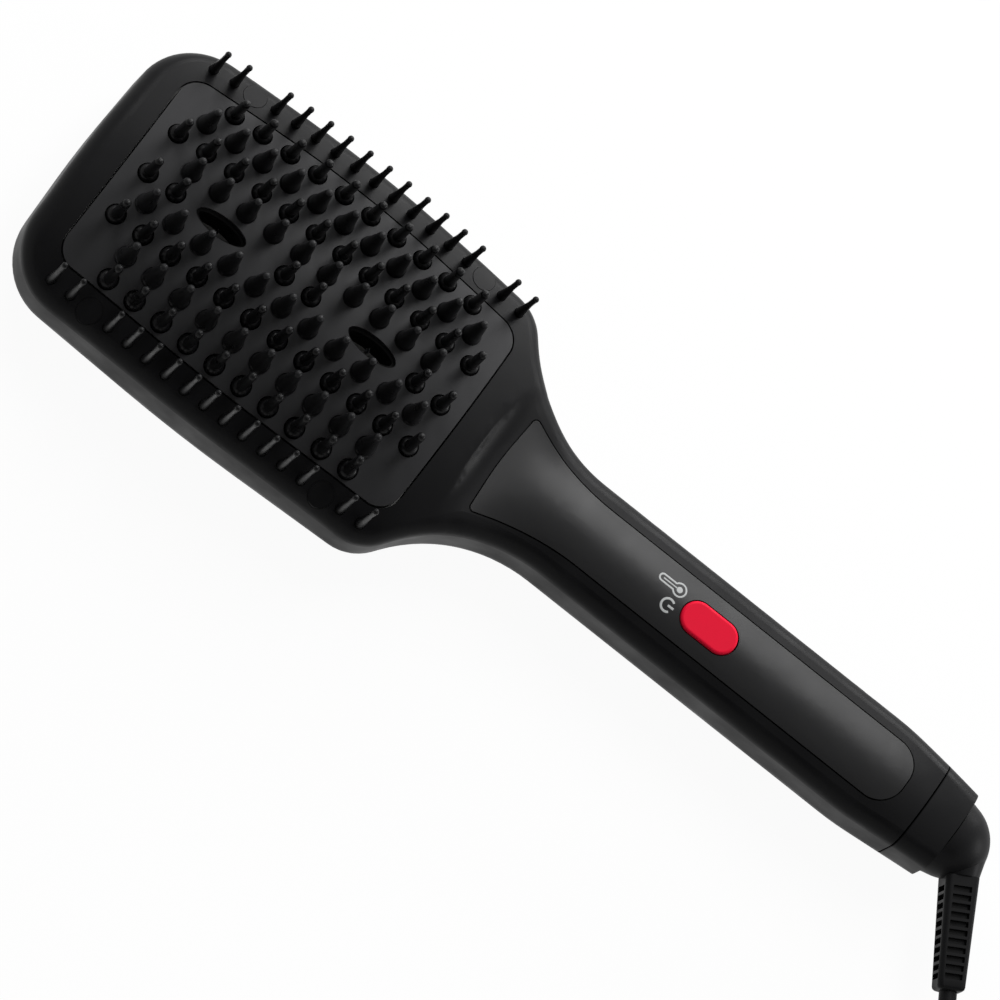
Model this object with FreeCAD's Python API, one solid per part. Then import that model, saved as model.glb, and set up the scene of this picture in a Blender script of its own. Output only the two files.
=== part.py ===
"""Heated styling brush: a corded paddle brush with a domed hot plate, a push button and a swivel cord.

Millimetres, +Z up. The brush lies on its back with its bristles up, its head towards -X and its
cord end towards +X. Places along X are measured from the centre of the head, and every piece is
moved by the same shift at the end, so that the brush's own box is centred on the origin.
"""
import FreeCAD, Part
import math
import os

V = FreeCAD.Vector
UP = V(0, 0, 1)
DIAGONAL = math.sqrt(0.5)
ALONG = V(1, 0, 0)

# Outline of the brush, seen from above
head_front = 67.6
head_half = 44.3
head_corner_inset = 2.1
head_corner_r = 19.0
shoulder_x = 57.0
shoulder_inset = 2.5
shoulder_r = 14.0
neck_x = 76.0
neck_r = 46.0
handle_half = 15.4
tail_end = 230.9
tail_taper = 26.0
tail_half = 12.8
cap_length = 11.3
side_bow_r = 500.0
end_bow = 1.6
end_bow_r = 260.0
tail_bow_r = 90.0

# Heights and walls of the two housings
split_z = 14.0
deck_z = 28.5
deck_cross_r = 30.0
neck_run = 24.0
tail_drop = 2.2
frame_apex = 38.5
frame_cross_r = 80.0
dome_long_r = 330.0
ridge_x = 64.8
ridge_bow = 0.006
crest_half = 14.0
crest_fade = 8.0
ridge_step = 7.0
top_edge_r = 6.0
back_edge_r = 10.5
wall = 2.2
deck_floor = 4.0

# Hot plate
plate_apex = 38.6
plate_cross_r = 80.0
front_band = 11.3
side_band = 10.0
plate_end_inset = 2.8
plate_corner_r = 6.5
plate_skin = 1.8
plate_gap = 0.5
slot_x = 25.6
slot_half_length = 8.0
slot_half_width = 3.0
needle_depth = 3.5

# Bristle carrier under the plate
carrier_top = 25.5
carrier_thick = 2.0
carrier_margin = 1.7

# Bristles
pin_columns = 12
column_margin = 6.6
row_margin = 4.5
row_bow = 0.05
bow_length = 50.0
pin_base_r = 2.5
pin_shaft_r = 1.55
pin_tip_r = 1.2
pin_height = 15.0
pin_hole_gap = 0.4
cone_base_r = 2.9
cone_tip_r = 1.15
cone_flare = 0.45
cone_foot = 1.4
cone_height = 15.0
cone_seat = 0.3
cone_gap = 0.05
edge_margin = 5.15
edge_end_margin = 3.9
edge_count = 17
edge_screw_step = 6
edge_pin_r = 0.8
edge_collar_r = 1.35
edge_taper = 0.6
edge_tip_r = 0.9
edge_height = 18.5
edge_flange_r = 1.9
edge_flange = 1.2
edge_seat_z = 21.4
edge_strip = 2.0
edge_strip_half = 2.0
edge_hole_gap = 0.12
rail_gap = 0.25

# Head screws, their wells and caps
well_r = 4.6
cap_r = 3.4
cap_gap = 0.1
cap_seat_z = 23.0
screw_head_r = 2.7
screw_head = 2.2
screw_r = 1.4
screw_floor_z = 18.5
screw_tip_z = 5.0
boss_r = 4.0

# Heating parts
heater_y = 7.6
heater_margin = 10.3
heater_width = 8.0
heater_thick = 3.0
heater_seat_z = 32.6
spring_thick = 0.5
spring_x = 24.0
sensor_x = 11.8
plate_screw_x = 45.15
plate_screw_y = 22.35
plate_boss_r = 2.7
post_r = 3.0
post_x = 27.1
wire_r = 0.7
lead_bend = 5.2
lead_level = 20.0
lead_straight = 11.0
sensor_lead_share = 3.4
generator_start = 62.5
generator_length = 24.0
generator_half = 7.0
generator_top = 11.5

# Control panel and button
inlay_start = 73.0
inlay_bow = 1.1
inlay_bow_r = 90.0
inlay_corner_r = 1.2
inlay_start_half = 16.1
inlay_waist_x = 91.0
inlay_half = 9.1
inlay_end_margin = 18.9
inlay_waist_r = 75.0
inlay_end_r = 7.5
inlay_thick = 1.8
inlay_gap = 0.35
button_x = 144.1
button_length = 17.7
button_width = 9.6
button_rise = 0.5
button_gap = 0.3
button_flange = 1.0
button_flange_thick = 1.0
button_clear = 0.3
button_travel = 0.8
handle_screw_first = 94.0
handle_screw_room = 19.4

# Control board
board_start = 101.0
board_room = 26.4
board_half = 11.0
board_thick = 1.6
triac_step = 8.0
capacitor_step = 25.0
led_step = 14.8
switch_size = 6.2
switch_height = 3.6
plunger_r = 1.7
plunger_rise = 1.1

# Swivel
swivel_z = 14.2
spigot_r = 4.0
spigot_bore_r = 2.2
spigot_length = 22.1
bush_r = 6.5
bush_gap = 0.05
ring_r = 5.2
ring_width = 2.2
ring_room = 9.9
ring_step = 4.5
contact_gap = 0.15
contact_half = 4.0
contact_rise = 1.3
elbow_gap = 0.3
elbow_r = 11.8
elbow_pivot = 6.1
elbow_angle = 60.0
elbow_nose_r = 5.4
elbow_nose = 8.0
relief_length = 31.4
relief_root_half = 4.75
relief_end_half = 3.9
relief_corner_r = 1.6
relief_notches = 11
relief_plain = 0.08
notch_depth = 1.3
notch_half_width = 2.5
notch_share = 0.58

# Cord
cord_r = 2.5
coil_inner_r = 21.0
coil_radial_step = 7.0
coil_layer_step = 6.0
coil_layers = (8, 8, 8, 7)
plug_length = 36.0
plug_half_width = 13.0
plug_half_height = 7.0
plug_neck_half = 6.5
plug_pin_r = 2.0
plug_pin_length = 19.0
plug_pin_y = 9.3

plate_half = head_half - side_band
plate_half_length = head_front - front_band
edge_row = head_half - edge_margin
edge_pitch = (plate_half_length - edge_end_margin) / (edge_count // 2)
column_pitch = 2 * (plate_half_length - column_margin) / (pin_columns - 1)
row_pitch = (plate_half - row_margin) / 2
heater_half_length = plate_half_length - heater_margin
tail_bend_x = tail_end - tail_taper
cap_seam = tail_end - cap_length
inlay_end = tail_end - inlay_end_margin
board_top = split_z + board_thick
board_end = cap_seam - board_room
handle_screw_last = cap_seam - handle_screw_room
spigot_start = tail_end - spigot_length
ring_first = cap_seam - ring_room
contact_z = swivel_z - ring_r - contact_gap - contact_rise
carrier_bottom = carrier_top - carrier_thick


def spaced(first, last, count):
    """Evenly spaced values from first to last."""
    return [first + (last - first) * i / (count - 1) for i in range(count)]


def outline(corners):
    """Closed outline of straight runs joined by tangent arcs; each corner is x, y and its radius."""
    joints = []
    for i, (x, y, r) in enumerate(corners):
        before = V(*corners[i - 1][:2], 0)
        here = V(x, y, 0)
        after = V(*corners[(i + 1) % len(corners)][:2], 0)
        if r == 0:
            joints.append((here, None, here))
            continue
        back = (before - here).normalize()
        onward = (after - here).normalize()
        half = back.getAngle(onward) / 2
        run = r / math.tan(half)
        middle = here + (back + onward).normalize() * (r / math.sin(half) - r)
        joints.append((here + back * run, middle, here + onward * run))
    edges = []
    for i, (start, middle, end) in enumerate(joints):
        if middle:
            edges.append(Part.Arc(start, middle, end).toShape())
        edges.append(Part.makeLine(end, joints[(i + 1) % len(joints)][0]))
    return Part.Wire(edges)


def both_sides(half):
    """Corners of the +Y side, followed by the same corners on the -Y side."""
    return half + [(x, -y, r) for x, y, r in reversed(half) if y > 0]


def slab(wire, bottom, top, inset=0.0):
    """Upright prism on an outline, drawn in by inset."""
    if inset:
        wire = wire.makeOffset2D(-inset)
    face = Part.Face(wire)
    face.translate(V(0, 0, bottom))
    return face.extrude(V(0, 0, top - bottom))


def box(x0, x1, y0, y1, z0, z1):
    return Part.makeBox(x1 - x0, y1 - y0, z1 - z0, V(x0, y0, z0))


def rod(x, y, r, z0, z1):
    return Part.makeCylinder(r, z1 - z0, V(x, y, z0), UP)


def axle(x0, x1, r):
    """Cylinder on the swivel axis."""
    return Part.makeCylinder(r, x1 - x0, V(x0, 0, swivel_z), ALONG)


def turned(profile, x, y):
    """Solid of revolution about an upright axis. The profile is radius and height, axis to axis;
    a triple with a mark is the middle of an arc."""
    edges = []
    i = 0
    while i < len(profile) - 1:
        here = V(x + profile[i][0], y, profile[i][1])
        step = profile[i + 1]
        if len(step) == 3:
            end = profile[i + 2]
            arc = Part.Arc(here, V(x + step[0], y, step[1]), V(x + end[0], y, end[1]))
            edges.append(arc.toShape())
            i += 2
        else:
            edges.append(Part.makeLine(here, V(x + step[0], y, step[1])))
            i += 1
    first = V(x, y, profile[0][1])
    last = V(x, y, profile[-1][1])
    edges.append(Part.makeLine(last, first))
    return Part.Face(Part.Wire(edges)).revolve(V(x, y, 0), UP, 360)


def round_tip(r, top):
    """End of a turned profile: a half ball of radius r."""
    return [(r, top - r), (r * DIAGONAL, top - r + r * DIAGONAL, "arc"), (0, top)]


def joined(shapes):
    """Several touching or crossing solids as one."""
    return shapes[0].fuse(shapes[1:]).removeSplitter()


def group(shapes):
    return Part.makeCompound(shapes)


def smooth(t):
    t = min(1.0, max(0.0, t))
    return t * t * (3 - 2 * t)


def dome(x, y, apex, cross_r):
    return apex - x * x / (2 * dome_long_r) - y * y / (2 * cross_r)


def skin_height(x, y):
    """Height of the brush's front face: a domed head that steps down to the deck of the handle."""
    head = dome(x, y, frame_apex, frame_cross_r)
    tail = max(0.0, (x - tail_bend_x) / (tail_end - tail_bend_x))
    crown = smooth((x - ridge_x - ridge_step) / neck_run)
    deck = deck_z - crown * y * y / (2 * deck_cross_r) - tail_drop * tail * tail
    aside = min(abs(y), crest_half)
    step = (x - ridge_x - ridge_bow * aside * aside) / ridge_step
    left = 1 - min(1.0, max(0.0, step))
    crisp = 1 - smooth((abs(y) - crest_half) / crest_fade)
    fall = crisp * (1 - left * left) + (1 - crisp) * smooth(step)
    return head + fall * (deck - head)


def plate_height(x, y):
    return dome(x, y, plate_apex, plate_cross_r)


def below(height, lift=0.0):
    """Everything under a front face that is raised by lift."""
    over = 8.0
    step_end = ridge_x + ridge_step + over
    xs = spaced(-head_front - over, ridge_x - 5, 14)
    xs += spaced(ridge_x - 3, step_end, 19)
    xs += spaced(step_end + over, tail_end + over, 18)
    ys = spaced(-head_half - over, head_half + over, 21)
    face = Part.BSplineSurface()
    face.interpolate([[V(x, y, height(x, y) + lift) for y in ys] for x in xs])
    return face.toShape().extrude(V(0, 0, -60))


def bowed(x, row):
    """Rows of bristles follow the bowed long sides of the head."""
    return row * (1 - row_bow * (x / bow_length) ** 2)


body_wire = outline(both_sides([
    (-head_front, 0, end_bow_r),
    (-head_front + end_bow, head_half - head_corner_inset, head_corner_r),
    (0, head_half, side_bow_r),
    (shoulder_x, head_half - shoulder_inset, shoulder_r),
    (neck_x, handle_half, neck_r),
    (tail_bend_x, handle_half, tail_bow_r),
    (tail_end, tail_half, 0),
]))
plate_wire = outline(both_sides([
    (-plate_half_length, plate_half - plate_end_inset, plate_corner_r),
    (0, plate_half, side_bow_r),
    (plate_half_length, plate_half - plate_end_inset, plate_corner_r),
]))
inlay_wire = outline(both_sides([
    (inlay_start - inlay_bow, 0, inlay_bow_r),
    (inlay_start, inlay_start_half, inlay_corner_r),
    (inlay_waist_x, inlay_half, inlay_waist_r),
    (inlay_end, inlay_half, inlay_end_r),
]))


def front_form(inset=0.0, lift=0.0, edge=top_edge_r):
    """Upper half of the brush's outer form, or of the hollow inside it."""
    low = split_z - (1 if inset else 0)
    form = slab(body_wire, low, 60, inset).common(below(skin_height, lift)).Solids[0]
    end = tail_end - inset - 0.1
    rim = [e for e in form.Edges
           if e.BoundBox.ZMin > split_z + 0.5 and e.BoundBox.XMin < end
           and e.BoundBox.XLength + e.BoundBox.YLength > 0.01]
    return form.makeFillet(edge, rim)


def back_form(inset=0.0, edge=back_edge_r):
    """Lower half of the brush's outer form, or of the hollow inside it."""
    form = slab(body_wire, inset, split_z, inset)
    end = tail_end - inset - 0.1
    rim = [e for e in form.Edges if e.BoundBox.ZMax < inset + 0.01 and e.BoundBox.XMin < end]
    return form.makeFillet(edge, rim)


far = -head_front - 20
front_outer = front_form()
back_outer = back_form()
front_hollow = front_form(wall, -wall, top_edge_r - wall)
back_hollow = back_form(wall, back_edge_r - wall)
handle_box = box(ridge_x + 1, tail_end + 20, -60, 60, -5, 80)
housing_box = box(far, cap_seam, -60, 60, -5, 80)
deck_hollow = front_form(wall, -deck_floor, top_edge_r - wall).common(handle_box)
head_hollow = front_hollow.cut(handle_box)


def edge_places(side, screws=False):
    """Places along one edge row: the bristles, or the two screws that take a bristle's place."""
    middle = edge_count // 2
    places = []
    for i in range(-middle, middle + 1):
        if (abs(i) == edge_screw_step) == screws:
            x = i * edge_pitch
            places.append((x, side * bowed(x, edge_row)))
    return places


screw_places = edge_places(1, True) + edge_places(-1, True)
handle_screws_at = [(handle_screw_first, 0), (handle_screw_last, 0)]


def stadium(x, length, width, z0, z1):
    """Upright bar with round ends."""
    r = width / 2
    reach = length / 2 - r
    ends = [(x + reach, r, 0), (x + reach, -r, 0), (x - reach, -r, 0), (x - reach, r, 0)]
    points = [V(px, py, z0) for px, py, _ in ends]
    wire = Part.Wire([
        Part.Arc(points[0], V(x + length / 2, 0, z0), points[1]).toShape(),
        Part.makeLine(points[1], points[2]),
        Part.Arc(points[2], V(x - length / 2, 0, z0), points[3]).toShape(),
        Part.makeLine(points[3], points[0]),
    ])
    return Part.Face(wire).extrude(V(0, 0, z1 - z0))


def front_housing():
    """Front shell: the frame round the plate, the neck and the deck of the handle."""
    rails = [box(-plate_half_length - 1, plate_half_length + 1, -head_half, head_half, edge_seat_z, 60)
             .cut(slab(plate_wire, 0, 60, -carrier_margin - rail_gap))]
    skirt_in = -plate_gap
    skirt_out = -plate_gap - (carrier_margin - plate_gap)
    skirt = slab(plate_wire, carrier_top, 60, skirt_out).cut(
        slab(plate_wire, carrier_top - 1, 61, skirt_in))
    wells = [rod(x, y, well_r, split_z, 60) for x, y in screw_places]
    bosses = [rod(x, y, boss_r, split_z, 60) for x, y in handle_screws_at]
    shell = front_outer.common(housing_box)
    shell = shell.cut(head_hollow.cut(rails + [skirt] + wells)).cut(deck_hollow.cut(bosses))
    carrier_room = slab(plate_wire, split_z, carrier_top, -carrier_margin - rail_gap)
    cuts = [slab(plate_wire, carrier_top, 60, -plate_gap)]
    cuts += [carrier_room.cut([rod(x, y, well_r, 0, 60) for x, y in screw_places])]
    for x, y in screw_places:
        cuts += [rod(x, y, cap_r + cap_gap, cap_seat_z, 60),
                 rod(x, y, screw_head_r + 0.2, screw_floor_z, 60),
                 rod(x, y, screw_r + 0.1, split_z - 1, 60)]
    for side in (1, -1):
        cuts += [rod(x, y, edge_collar_r + edge_hole_gap, split_z, 60)
                 for x, y in edge_places(side)]
        cuts += edge_strips(side, rail_gap / 2).Solids
    for x, y in handle_screws_at:
        cuts += [rod(x, y, screw_head_r + 0.2, deck_z - deck_floor - 2.0, 60),
                 rod(x, y, screw_r + 0.1, split_z - 1, 60)]
    recess = slab(inlay_wire, split_z, 60, -inlay_gap).cut(below(skin_height, -inlay_thick))
    flange_room = 2 * (button_flange + button_gap)
    cuts += [recess, stadium(button_x, button_length + flange_room, button_width + flange_room,
                             split_z, 60)]
    return shell.cut(cuts)


def back_housing():
    """Back shell, flat where the brush rests, with its screw bosses, posts and board studs."""
    shell = back_outer.common(housing_box).cut(back_hollow)
    posts = [rod(x, y, boss_r, 1, split_z) for x, y in screw_places + handle_screws_at]
    posts += [rod(x, y, 2.5, 1, split_z) for x, y in board_screws_at]
    posts = joined([shell] + posts).common(back_outer)
    tall = [rod(x, y, post_r, 1, carrier_bottom) for x, y in carrier_posts]
    whole = joined([posts] + tall)
    holes = [rod(x, y, screw_r, screw_tip_z, split_z + 1) for x, y in screw_places + handle_screws_at]
    holes += [rod(x, y, 1.1, 6.0, split_z + 1) for x, y in board_screws_at]
    return whole.cut(holes)


board_screws_at = [(board_start + 5, 7.5), (board_end - 5, -7.5)]
carrier_posts = [(i * post_x, side * plate_screw_y) for i in (-1, 0, 1) for side in (1, -1)]


def pin_places():
    """Ringed pins: five rows, with the end pins only on the three inner rows and room for the slots."""
    places = []
    for row in (-2, -1, 0, 1, 2):
        reach = pin_columns - 2 if abs(row) == 2 else pin_columns
        for i in range(reach):
            x = (i - (reach - 1) / 2) * column_pitch
            if row == 0 and column_pitch < abs(x) < 4 * column_pitch:
                continue
            places.append((x, bowed(x, row * row_pitch)))
    return places


def cone_places():
    """Heated cones: four rows halfway between the pins, every other row set over by half a step."""
    places = []
    for row, count in ((1.5, 11), (0.5, 10), (-0.5, 11), (-1.5, 10)):
        for i in range(count):
            x = (i - (count - 1) / 2) * column_pitch
            places.append((x, bowed(x, row * row_pitch)))
    return places


def cone_seat_z(x, y):
    """Flat seat cut for a cone, just under the lowest edge of the plate round it."""
    fall = cone_base_r * math.hypot(x / dome_long_r, y / plate_cross_r)
    return plate_height(x, y) - fall - cone_seat


def slot(x, grow, z0, z1):
    ellipse = Part.Ellipse(V(x, 0, z0), slot_half_length + grow, slot_half_width + grow)
    return Part.Face(Part.Wire([ellipse.toShape()])).extrude(V(0, 0, z1 - z0))


plate_screws_at = [(i * plate_screw_x, j * plate_screw_y) for i in (1, -1) for j in (1, -1)]


def heated_plate():
    """Domed cast plate with a skirt, seats for the heaters and sensors, and holes for the pins."""
    under = below(plate_height, -plate_skin)
    block = slab(plate_wire, carrier_top, 60).common(below(plate_height))
    hollow = slab(plate_wire, carrier_top - 1, 60, 2.0).common(under)
    half = heater_width / 2
    seats = [box(-heater_half_length, heater_half_length, s * heater_y - half, s * heater_y + half,
                 heater_seat_z, 60) for s in (1, -1)]
    seats += [box(s * sensor_x - 3.5, s * sensor_x + 3.5, -3.6, 3.6, heater_seat_z, 60)
              for s in (1, -1)]
    seats += [rod(x, y, plate_boss_r, carrier_top, 60) for x, y in plate_screws_at]
    inside = joined(seats).common(below(plate_height, -plate_skin / 2))
    plate = joined([block.cut(hollow), inside])
    cuts = [rod(x, y, pin_base_r + pin_hole_gap, carrier_top - 1, 60) for x, y in pin_places()]
    cuts += [rod(x, y, cone_base_r + cone_gap, cone_seat_z(x, y), 60) for x, y in cone_places()]
    cuts += [slot(s * slot_x, 0, carrier_top, 60) for s in (1, -1)]
    cuts += [rod(x, y, 1.25, carrier_top - 1, carrier_top + 6) for x, y in plate_screws_at]
    return plate.cut(cuts)


def heated_bristles():
    """Smooth heated cones with a flared foot, each standing in its seat on the plate."""
    cones = []
    for x, y in cone_places():
        z = cone_seat_z(x, y)
        foot = plate_height(x, y) + 0.1
        top = plate_height(x, y) + cone_height
        cones.append(turned([
            (0, z), (cone_base_r, z), (cone_base_r, foot),
            (cone_base_r - 0.7 * cone_flare, foot + 0.4 * cone_foot, "arc"),
            (cone_base_r - cone_flare, foot + cone_foot)]
            + round_tip(cone_tip_r, top), x, y))
    return group(cones)


def pin_bristles():
    """Cool nylon pins that stand on the carrier and come up through the plate."""
    pins = []
    for x, y in pin_places():
        face = plate_height(x, y) + 0.3
        top = plate_height(x, y) + pin_height
        pins.append(turned([
            (0, carrier_top), (pin_base_r, carrier_top), (pin_base_r, face),
            (pin_base_r - 0.25, face + 0.7, "arc"), (pin_shaft_r, face + 1.2)]
            + round_tip(pin_tip_r, top), x, y))
    return group(pins)


def bristle_carrier():
    """Flat moulded carrier that the pins stand on, with passages for wires, screws and needles."""
    tray = slab(plate_wire, carrier_bottom, carrier_top, -carrier_margin)
    x = heater_half_length
    cuts = [box(x + lead_bend - 3.7, x + lead_bend + 2.7, s * heater_y - 3.2, s * heater_y + 3.2, 0, 60)
            for s in (1, -1)]
    cuts += [rod(x, y, well_r + rail_gap, 0, 60) for x, y in screw_places]
    cuts += [rod(x, 0, wire_r + 0.7, 0, 60) for x in sensor_wire_x]
    cuts += [rod(x, y, 1.35, 0, 60) for x, y in plate_screws_at]
    cuts += [rod(s * slot_x, 0, 0.6, 0, 60) for s in (1, -1)]
    return tray.cut(cuts)


sensor_wire_x = [sensor_x - 1.5, sensor_x + 1.5]


def edge_bristles(side):
    """Guard bristles of one long edge, each with a flange behind the frame."""
    pins = []
    for x, y in edge_places(side):
        face = skin_height(x, y) + 0.5
        top = skin_height(x, y) + edge_height
        flange = edge_seat_z - edge_flange
        pins.append(turned([
            (0, flange), (edge_flange_r, flange), (edge_flange_r, edge_seat_z),
            (edge_collar_r, edge_seat_z), (edge_collar_r, face),
            (edge_pin_r, face + edge_taper * edge_height),
            (edge_pin_r, top - 2 * edge_tip_r)] + round_tip(edge_tip_r, top), x, y))
    return group(pins)


def edge_strips(side, grow=0.0):
    """Bars that hold the guard bristles from behind, broken by the two screw wells."""
    top = edge_seat_z - edge_flange
    inner = edge_screw_step * edge_pitch - well_r - rail_gap
    outer = edge_screw_step * edge_pitch + well_r + rail_gap
    last = (edge_count // 2) * edge_pitch + 1.6
    bars = []
    for x0, x1 in ((-last, -outer), (-inner, inner), (outer, last)):
        reach = max(abs(x0), abs(x1))
        y = side * (bowed(reach, edge_row) + bowed((x0 + x1) / 2, edge_row)) / 2
        half = edge_strip_half + grow
        bars.append(box(x0 - grow, x1 + grow, y - half, y + half, top - edge_strip - grow, top))
    return group(bars)


def screw(x, y, head_z, tip_z, head_r=screw_head_r, head=screw_head, shank_r=screw_r):
    """Screw driven down from above, with a cross slot in its head."""
    body = joined([rod(x, y, head_r, head_z, head_z + head), rod(x, y, shank_r, tip_z, head_z)])
    top = head_z + head
    drive = [box(x - 1.4, x + 1.4, y - 0.3, y + 0.3, top - 0.9, top + 1),
             box(x - 0.3, x + 0.3, y - 1.4, y + 1.4, top - 0.9, top + 1)]
    return body.cut(drive)


def screw_caps():
    return group([rod(x, y, cap_r, cap_seat_z, 60).common(below(skin_height, 0.15)).Solids[0]
                  for x, y in screw_places])


def head_screws():
    return group([screw(x, y, screw_floor_z, screw_tip_z) for x, y in screw_places])


def handle_screws():
    head_z = deck_z - deck_floor - 2.0
    return group([screw(x, y, head_z, screw_tip_z) for x, y in handle_screws_at])


def board_screws():
    return group([screw(x, y, board_top, 6.0, 2.2, 1.4, 1.1) for x, y in board_screws_at])


def plate_screws():
    """Screws driven up through the carrier into the bosses of the plate."""
    return group([joined([rod(x, y, 2.3, carrier_bottom - 1.6, carrier_bottom),
                          rod(x, y, 1.25, carrier_bottom, carrier_top + 5)])
                  for x, y in plate_screws_at])


def heater_bars():
    half = heater_width / 2
    low = heater_seat_z - heater_thick
    bars = []
    for s in (1, -1):
        bar = box(-heater_half_length, heater_half_length, s * heater_y - half,
                  s * heater_y + half, low, heater_seat_z)
        bars.append(bar.makeFillet(0.8, [e for e in bar.Edges if abs(e.Length - 2 * heater_half_length) < 1]))
    return group(bars)


def heater_springs():
    """Arched leaf springs that press the heaters against the plate."""
    low = carrier_top
    rise = heater_seat_z - heater_thick - low
    reach = 9.0
    springs = []
    for s in (1, -1):
        for x in (-spring_x, spring_x):
            outer = Part.Arc(V(x - reach, 0, low), V(x, 0, low + rise), V(x + reach, 0, low)).toShape()
            cut = reach - 2 * spring_thick
            inner = Part.Arc(V(x + cut, 0, low), V(x, 0, low + rise - spring_thick),
                             V(x - cut, 0, low)).toShape()
            foot = [Part.makeLine(V(x + reach, 0, low), V(x + cut, 0, low)),
                    Part.makeLine(V(x - cut, 0, low), V(x - reach, 0, low))]
            face = Part.Face(Part.Wire([outer, foot[0], inner, foot[1]]))
            leaf = face.extrude(V(0, 5, 0))
            leaf.translate(V(0, s * heater_y - 2.5, 0))
            springs.append(leaf)
    return group(springs)


def thermistor():
    body = box(sensor_x - 3, sensor_x + 3, -2, 2, heater_seat_z - 2.6, heater_seat_z)
    return body.makeFillet(0.6, [e for e in body.Edges if e.BoundBox.ZLength > 1])


def thermal_fuse():
    """Axial fuse with its two leads bent across to the heaters."""
    r = 1.3
    half = 2.8
    inner_face = heater_y - heater_width / 2
    z = heater_seat_z - r
    can = Part.makeCylinder(r, 2 * half, V(-sensor_x - half, 0, z), ALONG)
    leads = []
    for end in (1, -1):
        x = -sensor_x + end * (half + 1)
        leads.append(Part.makeCylinder(0.4, 1.4, V(x - end * 1.4, 0, z), V(end, 0, 0)))
        leads.append(Part.makeCylinder(0.4, inner_face, V(x, 0, z), V(0, end, 0)))
        leads.append(Part.makeSphere(0.4, V(x, 0, z)))
    return joined([can] + leads)


def ion_nozzles():
    """Oval tubes that stand on the carrier behind the two slots of the plate."""
    tubes = []
    for s in (1, -1):
        top = plate_height(slot_x, 0) - plate_skin - 0.2
        tubes.append(slot(s * slot_x, 0, carrier_top, top).cut(slot(s * slot_x, -0.9, carrier_top, top)))
    return group(tubes)


def ion_needles():
    tip = plate_apex - needle_depth
    return group([turned([(0, carrier_bottom - 1), (0.6, carrier_bottom - 1), (0.6, tip - 3), (0, tip)],
                         s * slot_x, 0) for s in (1, -1)])


def ion_generator():
    case = box(generator_start, generator_start + generator_length, -generator_half, generator_half,
               wall + 0.3, generator_top)
    return case.makeFillet(1.0, [e for e in case.Edges if e.BoundBox.ZLength > 5])


def route(points):
    """Path of straight runs and tangent arcs, each arc as large as its two runs allow."""
    points = [V(*p) for p in points]
    edges = []
    radii = []
    start = points[0]
    for before, here, after in zip(points, points[1:], points[2:]):
        back = before - here
        onward = after - here
        shorter = min(back.Length, onward.Length)
        back.normalize()
        onward.normalize()
        half_turn = (math.pi - back.getAngle(onward)) / 2
        run = 0.45 * shorter
        radius = run / math.tan(half_turn)
        radii.append(radius)
        inward = (back + onward).normalize()
        middle = here + inward * (radius / math.cos(half_turn) - radius)
        edges.append(Part.makeLine(start, here + back * run))
        edges.append(Part.Arc(here + back * run, middle, here + onward * run).toShape())
        start = here + onward * run
    edges.append(Part.makeLine(start, points[-1]))
    return Part.Wire(edges), radii


def tube(path, r):
    """Round tube along a path."""
    start = path.Edges[0]
    at = start.valueAt(start.FirstParameter)
    way = start.tangentAt(start.FirstParameter)
    ring = Part.Wire([Part.Circle(at, way, r).toShape()])
    return path.makePipeShell([ring], True, False)


def wire(points):
    return tube(route(points)[0], wire_r)


def heater_leads():
    """Two wires from the handle end of each heater, down through the carrier to the board."""
    z = heater_seat_z - heater_thick / 2
    end_z = split_z + board_thick / 2
    x = heater_half_length
    bend_x = x + lead_bend
    return group([wire([(x, y, z), (bend_x, y, z), (bend_x, y, lead_level),
                        (board_start - lead_straight, y, end_z), (board_start, y, end_z)])
                  for y in (-heater_y - 2, -heater_y + 2, heater_y - 2, heater_y + 2)])


def sensor_leads():
    """Two wires from the thermistor to the board."""
    end_z = split_z + board_thick / 2
    wires = []
    for x, y in zip(sensor_wire_x, (heater_y, -heater_y)):
        wires.append(wire([(x, 0, heater_seat_z - 2.6), (x, 0, lead_level - 1), (sensor_lead_share * x, y, lead_level),
                           (board_start - lead_straight, y, end_z), (board_start, y, end_z)]))
    return group(wires)


def ion_leads():
    """Two wires from the ion generator to the feet of the needles."""
    low = carrier_bottom - 1
    x = generator_start
    z = generator_top - 2.5
    return group([wire([(x, 3, z), (x - 12.5, 3, z), (slot_x, 0, z + 4), (slot_x, 0, low)]),
                  wire([(x, -3, z), (x - 17.5, -3, z), (-slot_x, 0, z + 4), (-slot_x, 0, low)])])


def handle_inlay():
    """Panel let into the deck of the handle, with the opening for the button."""
    panel = slab(inlay_wire, split_z, 60).common(below(skin_height, 0.1))
    panel = panel.cut(below(skin_height, -inlay_thick))
    opening = stadium(button_x, button_length + 2 * button_gap, button_width + 2 * button_gap, 0, 60)
    return panel.cut(opening)


plunger_top = board_top + switch_height + plunger_rise


def power_button():
    """Crowned push button with a flange behind the panel and a stem down to the switch."""
    edge = button_width / 2 + button_flange
    under = skin_height(button_x, edge) - inlay_thick - button_clear
    cap = stadium(button_x, button_length, button_width, under - button_flange_thick, deck_z + button_rise)
    top = [e for e in cap.Edges if e.BoundBox.ZMin > deck_z]
    cap = cap.makeFillet(0.9, top)
    flange = stadium(button_x, button_length + 2 * button_flange, button_width + 2 * button_flange,
                     under - button_flange_thick, under)
    stem = rod(button_x, 0, 2.0, plunger_top, under - button_flange_thick + 0.1)
    return joined([cap, flange, stem])


def control_board():
    board = box(board_start, board_end, -board_half, board_half, split_z, board_top)
    return board.cut([rod(x, y, 1.15, 0, 60) for x, y in board_screws_at])


def tact_switch():
    half = switch_size / 2
    body = box(button_x - half, button_x + half, -half, half, board_top, board_top + switch_height)
    return body.cut(rod(button_x, 0, plunger_r + 0.1, board_top + switch_height - 1.5, 60))


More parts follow.
